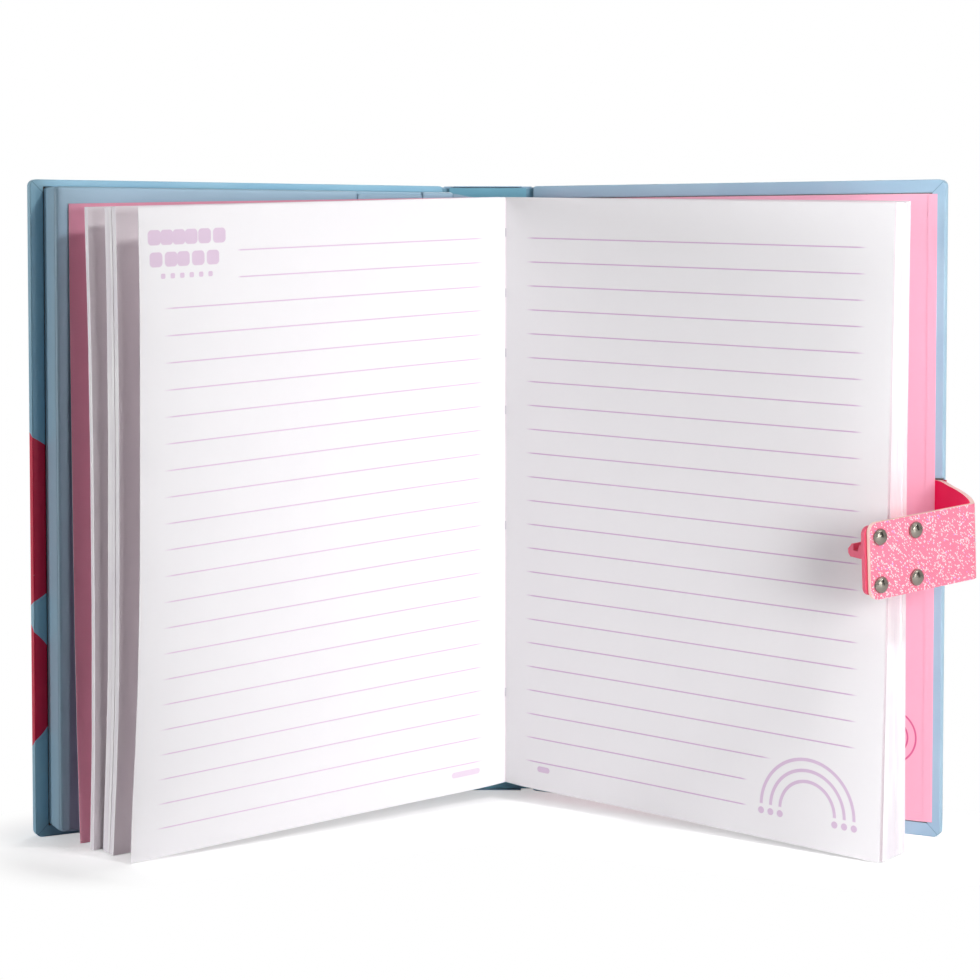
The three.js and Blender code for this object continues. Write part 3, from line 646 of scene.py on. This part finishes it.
def make_leaves(name, leaf, steps_along=16, steps_up=18):
    side, layers, length = leaf[0], leaf[4], leaf[5]
    chance = random.Random(name)
    corners, faces, flat, which = [], [], [], []
    share = np.linspace(0, 1, steps_along + 1) ** 1.5
    for layer in range(layers):
        first = len(corners)
        longer, taller = [chance.uniform(-ragged, ragged) if layers > 1 else 0 for _ in range(2)]
        for depth in (layer / layers, (layer + 0.95) / layers):
            for along in share:
                for j in range(steps_up + 1):
                    height = j / steps_up
                    reach = along * (1 + longer)
                    rise = height * (1 + taller) - taller / 2
                    corners.append(leaf_point(leaf, reach, rise, depth))
                    warp = page_warp * 4 * height * (1 - height) * along if name == "left_page" else 0
                    flat.append((reach * length, leaf_height * height + warp))
        faces += sheet_faces(corners, flat, first, steps_along, steps_up, side > 0)
        which += [0, 1 if layer == layers - 1 else 0] * (steps_along * steps_up)
        which += [2] * (len(faces) - len(which))
    sheet = prints.get(name, plain_page)
    back = flyleaf_paper if name == "front_flyleaf" else plain_page
    return make_piece(f"{name}_sheets", corners, faces, flat, [back, sheet, cut_edge], which)


# %% [markdown]
# A leaf's body turns as one stiff board when the diary is closed, and each bundle rides on its body.

# %% Put the leaves in place
leaf_pieces = {}
for name, leaf in leaves.items():
    side, root, turn, _, layers = leaf[:5]
    piece = make_leaves(name, leaf)
    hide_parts(name)
    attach(piece, f"{name}_body")
    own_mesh(piece)
    "pink_paper" if name == "front_flyleaf" else "page_paper"
    leaf_pieces[name] = piece
print("leaf faces:", sum(len(p.data.polygons) for p in leaf_pieces.values()))

# %% [markdown]
# ## The sewing thread
#
# In the open gutter six short stitches show, where a needle went through the fold. Each is a thin
# bowed thread of light grey linen.

# %% Stitches
thread_finish = matt_paper("sewing thread", "#d6d2da", "#bcb6c2", 0.6, depth=0.03)
stitch_heights = [199.5, 178.5, 157.5, 137.5, 97.0, 38.0]
stitch_length, stitch_bow, thread_radius = 3.0, 0.5, 0.15
gutter_x, gutter_y = 6.3, -15.3
corners, faces, flat = [], [], []
for height in stitch_heights:
    first = len(corners)
    for i in range(9):
        t = i / 8 - 0.5
        forward = gutter_y - stitch_bow * (1 - 4 * t * t)
        for k in range(6):
            turn = k * math.pi / 3
            corners.append((gutter_x + thread_radius * math.cos(turn),
                            forward + thread_radius * math.sin(turn), height + stitch_length * t))
            flat.append((k * 0.26, i * 0.6))
    for i in range(8):
        for k in range(6):
            a, b = first + i * 6 + k, first + i * 6 + (k + 1) % 6
            faces.append((a, b, b + 6, a + 6))
stitches = make_piece("sewing_stitches", corners, faces, flat, [thread_finish])
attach(stitches, "left_page_body")

# %% [markdown]
# ## The strap
#
# The strap is a leathercloth sheet 1.4 mm thick: glitter on the outer face, crimson cloth on the
# inner face and a cream core that shows at the cut edges. It leaves a recess in the back board,
# bows outwards and folds over where it would meet the front cover. The glitter is a fine diagonal
# weave with short bright dashes along it and fewer across it, strewn in loose clusters. A few of
# the dashes are violet. The flakes are real, and their white and violet are painted glints. The
# crimson cloth is painted brighter than at the strap's root and glows faintly, which is painted
# light.

# %% Strap finishes
def glitter_finish():
    material, tree, shader = new_finish("glitter cloth")
    along, up, _ = sheet_place(tree)
    down_right = (along * 0.64 + up * 0.768)
    across = (along * 0.768 - up * 0.64)
    weave = ((across * 2.3).rest() - 0.5).size().rising(0.5, 0.15)
    base = mixed(tree, weave, "#ee6c88", "#f8859f")

    def dashes(first, second, length, width, least):
        column = second / width
        shift = speck(tree, vector(tree, column.steps(), 7.0, 3.0))
        row = first / length + shift
        chance = speck(tree, vector(tree, column.steps(), row.steps(), 1.0))
        inside = (column.rest() - 0.5).size().rising(0.4, 0.26)
        inside = inside * (row.rest() - 0.5).size().rising(0.4, 0.28)
        cell = vector(tree, column.steps() * width, (row - shift).steps() * length)
        cluster = noise(tree, cell, 0.22, 3.0).rising(0.3, 0.7)
        return inside * (chance + cluster * 0.25).rising(least, least + 0.04)

    main = dashes(down_right, across, 0.85, 0.36, 0.86)
    other = dashes(across, down_right, 0.7, 0.36, 1.1)
    # Painted glints: the dashes take a white colour, and a few a violet one, where the flakes would
    # catch the light.
    painted_glint = main.high(other)
    tint = speck(tree, vector(tree, (across / 0.42).steps(), (down_right / 3).steps(), 5.0))
    white = mixed(tree, tint.rising(0.9, 0.93), "#fffafa", "#c9a8ff")
    colour = mixed(tree, painted_glint, base, white)
    dress(tree, shader, colour, painted_glint * -0.25 + 0.5, weave * 0.5 + painted_glint, 0.08)
    return material


strap_glitter = glitter_finish()
# Painted light: the strap's lining is the root's crimson cloth painted brighter, and it glows faintly.
glowing_strap_lining = matt_paper("crimson lining", "#f4005a", "#dd004f", 0.65, depth=0.06, flat=True)
lining_shader = glowing_strap_lining.node_tree.nodes["Principled BSDF"]
lining_shader.inputs["Emission Color"].default_value = linear("#e0064c")
lining_shader.inputs["Emission Strength"].default_value = 0.28
strap_core = matt_paper("cream core", "#ffdcd2", "#f6c9c0", 0.8, depth=0.05, flat=True)
root_lining = matt_paper("crimson lining at the root", "#d0004c", "#b80043", 0.65, depth=0.06)
nodes["strap_root"].data.materials.clear()
nodes["strap_root"].data.materials.append(root_lining)

# %% [markdown]
# The strap's path is drawn flat first, in the back cover's own plane: how far along the cover and
# how far out towards the reader. It starts in the recess, bows out and reaches the fold, then turns
# back. Points of the bowed part lie on a curve drawn towards two handles. The sag is a small turn
# about the cover's long axis that grows from nothing at the recess.

# %% Strap path
strap_axis, strap_level, strap_height = 152.2, 0.35, 106.0
strap_width, strap_thickness, strap_round, sag = 23.8, 1.4, 3.0, math.radians(6.2)
root_turn, crease_turn, side_length, front_length = math.radians(63.5), math.radians(57.8), 37.65, 41.5
crease = (side_length * math.cos(root_turn), side_length * math.sin(root_turn))
front_way = (math.cos(root_turn + crease_turn), math.sin(root_turn + crease_turn))


def curve(handles, steps):
    """A smooth line from the first of four handles to the last, drawn towards the middle two."""
    line = []
    for n in range(steps + 1):
        t = n / steps
        weights = [(1 - t) ** 3, 3 * t * (1 - t) ** 2, 3 * t * t * (1 - t), t ** 3]
        line.append(tuple(sum(w * p[k] for w, p in zip(weights, handles)) for k in (0, 1)))
    return line


path = curve([(-5.5, 0.08), (-1.5, 0.08), (13.0, 20.0), (crease[0] + 0.1, crease[1] - 1.6)], 20)
entry, leave = path[-1], tuple(c + 2.0 * w for c, w in zip(crease, front_way))
corner_point = (crease[0] + 0.5, crease[1] + 0.2)
for n in range(1, 8):
    t = n / 8
    path.append(tuple((1 - t) ** 2 * a + 2 * t * (1 - t) * b + t * t * c
                      for a, b, c in zip(entry, corner_point, leave)))
run_out = [2.0 + 2.6 * n for n in range(14)]
run_out += [front_length - end for end in (3.0, 2.6, 2.2, 1.7, 1.2, 0.7, 0.3, 0.08, 0.0)]
path += [tuple(c + out * w for c, w in zip(crease, front_way)) for out in run_out]
run = [0.0]
for a, b in zip(path, path[1:]):
    run.append(run[-1] + math.dist(a, b))
print("strap length out of the cover", round(run[-1], 1), "mm")


def strap_world(along, outward, up):
    """From the cover's own plane to the diary's frame, with the sag."""
    share = min(max(outward / 8.0, 0.0), 1.0)
    turn = sag * share * share * (3 - 2 * share)
    y = -outward * math.cos(turn) - up * math.sin(turn)
    z = -outward * math.sin(turn) + up * math.cos(turn)
    x, y = strap_axis + along, y - strap_level
    swing = -opening["back"]
    return (hinge_half + x * math.cos(swing) - y * math.sin(swing),
            x * math.sin(swing) + y * math.cos(swing), strap_height + z)


def make_strap(name, first, last, rounded_end):
    half, thick = strap_width / 2, strap_thickness / 2
    rows = 12
    levels = [half * (2 * k / rows - 1) for k in range(rows + 1)]
    corners, flat = [], []
    for side in (thick, -thick):
        for i in range(first, last + 1):
            before, after = path[max(i - 1, 0)], path[min(i + 1, len(path) - 1)]
            step = math.dist(before, after)
            outside = ((after[1] - before[1]) / step, (before[0] - after[0]) / step)
            end = run[-1] - run[i]
            round_off = max(strap_round ** 2 - (strap_round - min(end, strap_round)) ** 2, 0)
            inset = strap_round - math.sqrt(round_off) if rounded_end else 0
            narrow = (half - inset) / half
            offset = (path[i][0] + outside[0] * side, path[i][1] + outside[1] * side)
            for level in levels:
                corners.append(strap_world(*offset, level * narrow))
                flat.append((run[i], level * narrow))
    steps = last - first
    faces = sheet_faces(corners, flat, 0, steps, rows)
    which = [0, 1] * (steps * rows)
    which += [2] * (len(faces) - len(which))
    piece = make_piece(name, corners, faces, flat, [strap_glitter, glowing_strap_lining, strap_core], which)
    return piece


seam = 12
strap_side = make_strap("strap_from_back_cover", 0, seam, False)
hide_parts("strap_side")
[c * millimetre for c in strap_world(-4.4, 0.0, 0.0)]
[c * millimetre for c in strap_world(3.6, 4.6, 0.0)]
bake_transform(strap_side)
strap_front = make_strap("strap_over_front_cover", seam, len(path) - 1, True)
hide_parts("strap_front")
[c * millimetre for c in strap_world(crease[0] - 0.8, crease[1] - 3.0, 0.0)]
[c * millimetre for c in strap_world(crease[0] - 1.2, crease[1] + 3.0, 0.0)]
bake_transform(strap_front)

# %% [markdown]
# ## Papers that tie the block to the case
#
# A strip of paper runs from the box to the back of the flyleaf, and another from the endpaper to
# the last leaves. Both stay where the open diary has them. Two more strips do not bend: the fold that
# closes the gutter between the two pages, and the fore edge of the pasted endpaper, which reaches a
# little further out than in CAD.

# %% Hinge papers
def make_strip(name, line, low, high, material, thickness=0.25, drop=0.0):
    """A thin strip that stands on a line seen from above. Its top falls by drop along the line."""
    steps_up = 10
    corners, flat = [], []
    run_on = [0.0]
    for a, b in zip(line, line[1:]):
        run_on.append(run_on[-1] + math.dist(a, b))
    count = len(line)
    for face in (0.5, -0.5):
        for i, point in enumerate(line):
            before, after = line[max(i - 1, 0)], line[min(i + 1, count - 1)]
            step = math.dist(before, after)
            square = (-(after[1] - before[1]) / step, (after[0] - before[0]) / step)
            for j in range(steps_up + 1):
                height = low + (high - drop * run_on[i] / run_on[-1] - low) * j / steps_up
                out = face * thickness
                corners.append((point[0] + square[0] * out, point[1] + square[1] * out, height))
                flat.append((run_on[i], height))
    faces = sheet_faces(corners, flat, 0, count - 1, steps_up, outward=False)
    return make_piece(name, corners, faces, flat, [material])


def cover_point(side, along, inward):
    turn = opening[side]
    sign = -1 if side == "front" else 1
    return (sign * (hinge_half + along * math.cos(turn) - inward * math.sin(turn)),
            -along * math.sin(turn) - inward * math.cos(turn))


front_line = curve([(-12.0, -14.7), (-9.2, -13.4), (-6.4, -11.2), (-3.6, -11.3)], 10)
front_tie = make_strip("front_hinge_strip", front_line, 5.6, 213.0, hinge_paper, drop=1.4)
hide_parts("front_hinge_paper")
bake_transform(front_tie)
gutter_line = [(5.7, -14.2), (6.0, -14.45), (6.3, -14.55), (6.6, -14.45), (6.9, -14.2)]
gutter = make_strip("gutter_paper", gutter_line, 6.0, 211.7, plain_page, 0.15)
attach(gutter, "left_page_body")
edge_line = [cover_point("back", 144.6, 1.74), cover_point("back", 147.7, 1.7)]
paste_edge = make_strip("endpaper_fore_edge", edge_line, 4.7, 211.3, endpaper, 0.1)
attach(paste_edge, "back_cover")
back_line = curve([(19.6, -4.35), (17.8, -5.2), (15.4, -8.0), (13.45, -8.75)], 10)
back_tie = make_strip("back_hinge_strip", back_line, 5.6, 210.4, pink_hinge)
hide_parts("back_hinge_paper")
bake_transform(back_tie)

# %% [markdown]
# ## Joints of the covering
#
# Between the spine and each cover the covering paper runs through a shallow groove, and that groove
# is what bends. Outside and inside it is one skin, so each joint is made as a narrow strip that
# runs from the spine to the cover.

# %% Joint folds
joint_cloth = matt_paper("joint cloth", "#7fb0c8", "#6f9fb8", 0.6, flat=True, depth=0.05)
for side, sign in (("front", -1), ("back", 1)):
    outer_line = curve([(sign * 13.2, 1.85), (sign * 15.4, 1.95),
                        cover_point(side, 0.6, -1.9), cover_point(side, 3.2, -1.82)], 12)
    fold = make_strip(f"{side}_joint_fold", outer_line, 0.3, 215.7, spine_paper, 0.3)
    [c * millimetre for c in (*cover_point(side, 2.4, -1.8), 0)]
    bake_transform(fold)
    inner_line = curve([(sign * 12.4, -0.2), (sign * 13.6, 0.4),
                        cover_point(side, -1.2, -0.4), cover_point(side, 0.9, 0.0)], 10)
    web = make_strip(f"{side}_joint_strip", inner_line, 0.8, 215.2, joint_cloth, 0.5)
    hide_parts(f"{side}_joint_cloth")
    [c * millimetre for c in (*cover_point(side, 0.8, 0.0), 0)]
    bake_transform(web)

# %% [markdown]
# ## Table, camera and light
#
# The photograph was taken from about 83 cm away, from a little below the height of the diary's
# top. The camera looks 2.7 degrees down, and its lens is shifted so that the diary sits in the
# frame. The table and the background are white. The table keeps a soft shadow near the diary: there
# the camera sees its own lit surface with an even glow on top. Away from the open covers, at 6 to
# 46 mm, it fades into plain white.

# %% Table
block_depth, fade = 26.0, (6.0, 46.0)


def table_finish():
    material, tree, shader = new_finish("white table")
    shader.inputs["Base Color"].default_value = (0.86, 0.86, 0.87, 1)
    x, y, _, place = object_place(tree)
    put(tree, noise(tree, place, 0.02, 2.0) * 0.1 + 0.75, shader.inputs["Roughness"])
    shader.inputs["Specular IOR Level"].default_value = 0.1
    seen = Sum(tree, node(tree, "ShaderNodeLightPath").outputs["Is Camera Ray"])
    near = None
    for side, turn in opening.items():
        out = x * -1 if side == "front" else x
        along = out * math.cos(turn) - y * math.sin(turn)
        inward = (out * math.sin(turn)) * -1 - y * math.cos(turn)
        past = far((along * -1).high(along - cover_reach).high(0.0),
                   (inward * -1).high(inward - block_depth).high(0.0))
        near = past if near is None else near.low(past)
    away = near.rising(*fade)
    lit_part = node(tree, "ShaderNodeAddShader")
    soft_white = node(tree, "ShaderNodeEmission", {"Color": (1, 1, 1, 1), "Strength": seen * 0.46})
    full_white = node(tree, "ShaderNodeEmission", {"Color": (1, 1, 1, 1), "Strength": 1.0})
    tree.links.new(shader.outputs[0], lit_part.inputs[0])
    tree.links.new(soft_white.outputs[0], lit_part.inputs[1])
    whole = node(tree, "ShaderNodeMixShader", {"Fac": seen * away})
    tree.links.new(lit_part.outputs[0], whole.inputs[1])
    tree.links.new(full_white.outputs[0], whole.inputs[2])
    tree.links.new(whole.outputs[0], tree.nodes["Material Output"].inputs["Surface"])
    return material


def flat_panels(name, corners, material):
    """Flat panels in one piece. Every four corners make one of them."""
    count = len(corners) // 4
    faces = [tuple(range(4 * n, 4 * n + 4)) for n in range(count)]
    flat = [(0, 0), (1, 0), (1, 1), (0, 1)] * count
    return make_piece(name, corners, faces, flat, [material], smooth=False)


wide, below = 3000, -0.05
table_corners = [(-wide, -wide, below), (wide, -wide, below), (wide, wide, below), (-wide, wide, below)]
table = flat_panels("table", table_corners, table_finish())

# %% Camera
scene = bpy.context.scene
camera_data = bpy.data.cameras.new("camera")
camera_data.sensor_width, camera_data.lens = 36.0, 85.56
camera_data.shift_y = -0.12
camera_data.clip_start, camera_data.clip_end = 0.01, 20
camera = bpy.data.objects.new("camera", camera_data)
camera.location = (0.00079, -0.8288, 0.1887)
camera.rotation_euler = (math.radians(90 - 2.68), 0, 0)
scene.collection.objects.link(camera)
scene.camera = camera
longest, aspect = 980, 1.0
scene.render.resolution_x, scene.render.resolution_y = longest, round(longest * aspect)
scene.view_settings.view_transform = "Standard"

# %% [markdown]
# Six soft lights. The main softbox stands high on the right, square to the left page, and reaches
# over that page's top onto the leaves behind it. A small light near the diary, right of the camera,
# throws the strap's soft shadow down and to the left onto the right page. The left softbox lights
# the right page, and a low edge light at the far left rakes along the cut edges. A wide one
# overhead fills the tops and another one behind lights the backs of the covers. The world adds an
# even glow, and a stronger one in reflections.

# %% Lights
def area_light(name, azimuth, elevation, distance, size, energy, target):
    data = bpy.data.lights.new(name, "AREA")
    data.shape, data.size, data.energy = "DISK", size, energy
    light = bpy.data.objects.new(name, data)
    turn, rise = math.radians(azimuth), math.radians(elevation)
    away = Vector((math.sin(turn) * math.cos(rise), -math.cos(turn) * math.cos(rise), math.sin(rise)))
    light.location = Vector(target) + away * distance
    light.rotation_mode = "QUATERNION"
    light.rotation_quaternion = away.to_track_quat("Z", "Y")
    scene.collection.objects.link(light)


middle, strap_end = (0, -0.06, 0.1), (0.115, -0.075, 0.106)
# name: azimuth and elevation in degrees, distance and width in metres, watts, what it points at
lamps = {
    "main softbox": (50, 42, 2.0, 0.3, 13.2, middle),
    "near light": (19, 9, 0.55, 0.24, 1.95, strap_end),
    "left softbox": (-48, 20, 2.0, 0.6, 2.5, middle),
    "edge light": (-88, 3, 2.0, 0.4, 21.0, middle),
    "overhead softbox": (10, 72, 1.6, 1.0, 2.2, middle),
    "light behind": (170, 28, 2.0, 0.8, 14.0, middle),
}
for name, (azimuth, elevation, distance, size, energy, target) in lamps.items():
    area_light(name, azimuth, elevation, distance, size, energy, target)

glow_strength = 0.03
world = bpy.data.worlds.new("white studio")
scene.world = world
world.use_nodes = True
tree = world.node_tree
background = tree.nodes["Background"]
rays = node(tree, "ShaderNodeLightPath")
seen = Sum(tree, rays.outputs["Is Camera Ray"]).high(Sum(tree, rays.outputs["Is Transmission Ray"]))
glossy = Sum(tree, rays.outputs["Is Glossy Ray"])
background.inputs["Color"].default_value = (1, 1, 1, 1)
put(tree, (glossy * 0.5 + glow_strength).high(seen), background.inputs["Strength"])

# %% [markdown]
# A black card stands in front of the left fore edges, as a photographer would place it, and is made
# invisible to the camera. It keeps the near light off the margin beside the box. A folded black net
# beside it takes a little under half of the light of the two left lamps from the margin and the
# wall of the box, and both leave the way free to the cut edges of the leaves. A thin net stands
# between the near light and the left page, so that the main softbox does more of the work there.

# %% Card and net
def card_finish(name, cover):
    material, tree, shader = new_finish(name)
    shader.inputs["Alpha"].default_value = cover
    place = object_place(tree)[3]
    shader.inputs["Base Color"].default_value = (0.01, 0.01, 0.01, 1)
    put(tree, noise(tree, place, 0.3) * 0.1 + 0.85, shader.inputs["Roughness"])
    return material


card_height = 225


def upright_card(name, panels, cover):
    """Panels that stand on lines seen from above and hold back a share (cover) of the light."""
    heights = (0, 0, card_height, card_height)
    corners = [(*end, height) for panel in panels
               for end, height in zip((*panel, *panel[::-1]), heights)]
    piece = flat_panels(name, corners, card_finish(name.replace("_", " "), cover))
    piece.visible_camera = piece.visible_glossy = piece.visible_transmission = False
    return piece


card = upright_card("black_card", [((-165, -142), (-88, -142))], 1.0)
upright_card("thin_net", [((-40, -300), (100, -300))], 0.22)
upright_card("black_net", [((-200, -83), (-133, -83)), ((-200, -83), (-200, -30))], 0.45)

# %% [markdown]
# The rivets mirror the whole studio, and in a white one they would look white too. A dark screen to
# the right, which only reflections can see, gives each dome the dark band of polished nickel.

# %% Dark screen
screen_corners = [(810, -697, -100), (980, -403, -100), (980, -403, 800), (810, -697, 800)]
screen = flat_panels("dark_screen", screen_corners, card.active_material)
screen.visible_camera = screen.visible_diffuse = False
screen.visible_shadow = screen.visible_transmission = False
